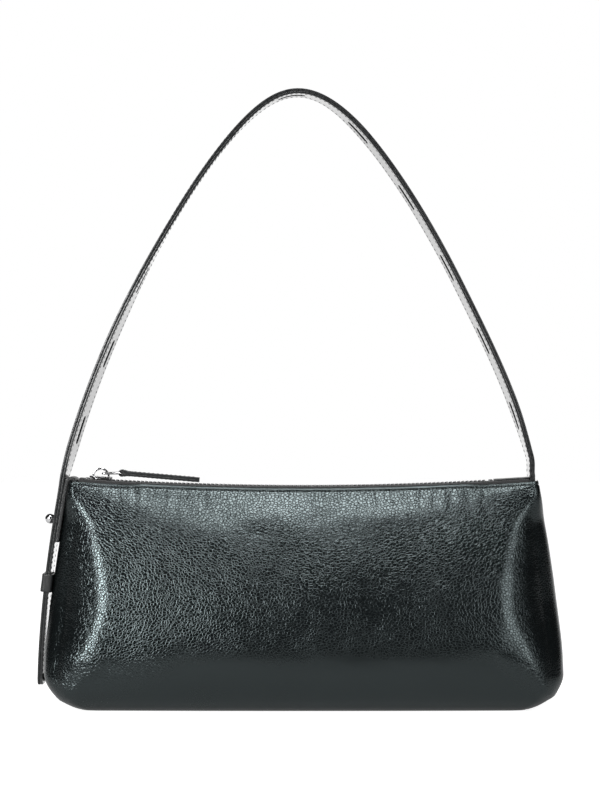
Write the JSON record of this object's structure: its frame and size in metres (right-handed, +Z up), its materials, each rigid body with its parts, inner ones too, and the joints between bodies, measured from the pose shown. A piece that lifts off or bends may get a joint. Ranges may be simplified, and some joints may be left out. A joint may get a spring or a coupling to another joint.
{
  "type": "shoulder bag",
  "caption": "Soft boxed leather shoulder bag with a zipped top and an arched strap pierced with slots, buttoned over a ball stud at one side.",
  "frame": {"origin": "centre of the flat base, on the surface that the bag stands on", "axes": "+X along the zip towards the end where the strap is sewn in, -Y out of the front panel, +Z up through the strap"},
  "size_m": [0.3022, 0.0858, 0.3568],
  "materials": {
    "body_leather": "semi-gloss pebbled leather",
    "strap_leather": "semi-gloss fine leather with painted edges",
    "trim_leather": "semi-gloss fine leather",
    "lining_cloth": "plain woven",
    "zip_tape": "woven tape",
    "zip_metal": "polished",
    "polished_metal": "polished",
    "dark_metal": "dark",
    "board": "pressed fibre board"
  },
  "bodies": {
    "bag": {"front_panel": "body_leather", "back_panel": "body_leather", "base_panel": "body_leather", "base_board": "board", "lining": "lining_cloth", "slip_pocket": "lining_cloth", "zip_tape_front": "zip_tape", "zip_tape_back": "zip_tape", "zip_teeth_front": "zip_metal", "zip_teeth_back": "zip_metal", "zip_top_stops": "zip_metal", "zip_bottom_stop": "zip_metal", "zip_end_tab_left": "trim_leather", "zip_end_tab_right": "trim_leather", "strap_anchor_face": "strap_leather", "strap_anchor_backing": "strap_leather", "strap_side_face": "strap_leather", "strap_side_backing": "strap_leather", "side_tab": "trim_leather", "ball_stud": "polished_metal", "stud_screw": "polished_metal", "keeper_loop": "trim_leather"},
    "zip_slider": {"slider_body": "polished_metal"},
    "zip_ring": {"pull_ring": "polished_metal"},
    "zip_pull": {"leather_pull": "trim_leather"},
    "strap_arch": {"strap_arch_face": "strap_leather", "strap_arch_backing": "strap_leather"},
    "strap_tail": {"strap_tail_face": "strap_leather", "strap_tail_backing": "strap_leather", "tail_stop_peg": "dark_metal"}
  },
  "joints": [
    {"name": "zip_slide", "type": "hinge", "parent": "bag", "child": "zip_slider", "pos_m": [0, 0, 2.02514], "axis": [0, -1, 0], "range_deg": [0, 5.7], "deforming": ["zip_teeth_front", "zip_teeth_back"]},
    {"name": "ring_swing", "type": "hinge", "parent": "zip_slider", "child": "zip_ring", "pos_m": [-0.11647, 0, 0.13443], "axis": [0, -1, 0], "range_deg": [0, 90]},
    {"name": "pull_swing", "type": "hinge", "parent": "zip_ring", "child": "zip_pull", "pos_m": [-0.10547, 0, 0.13462], "axis": [0, -1, 0], "range_deg": [0, 75]},
    {"name": "strap_swing", "type": "hinge", "parent": "bag", "child": "strap_arch", "pos_m": [0, 0, 0.1419], "axis": [1, 0, 0], "range_deg": [-90, 90], "stiffness_Nm_per_rad": 0.08},
    {"name": "tail_swing", "type": "hinge", "parent": "bag", "child": "strap_tail", "pos_m": [-0.14898, 0, 0.0645], "axis": [0, 1, 0], "range_deg": [0, 40]}
  ]
}
